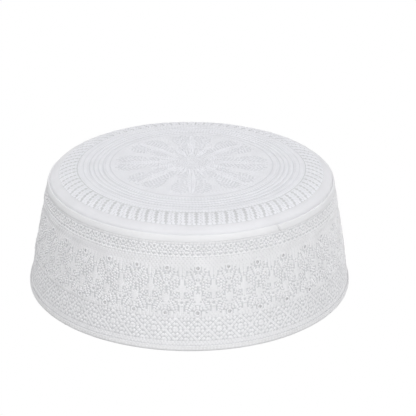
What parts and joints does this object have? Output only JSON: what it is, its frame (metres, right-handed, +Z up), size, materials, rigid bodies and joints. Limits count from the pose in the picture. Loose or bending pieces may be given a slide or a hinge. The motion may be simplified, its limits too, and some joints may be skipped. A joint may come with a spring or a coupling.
{
  "type": "prayer cap",
  "caption": "Round, brimless prayer cap with a flat top, a tapered pierced and embroidered wall, a plain shoulder strip and a turned hem.",
  "frame": {"origin": "centre of the open rim, in the plane that the cap stands on", "axes": "+Z up through the crown, -Y towards the front, +X to the right when the front is faced"},
  "size_m": [0.1814, 0.1814, 0.0706],
  "materials": {
    "embroidered_cloth": "white cotton cloth covered in white embroidery, matt with a faint thread sheen",
    "plain_cloth": "smooth white cotton cloth, matt"
  },
  "bodies": {
    "root": {"crown_panel": "embroidered_cloth", "shoulder_strip": "plain_cloth", "side_band": "embroidered_cloth", "hem": "plain_cloth"}
  },
  "joints": []
}
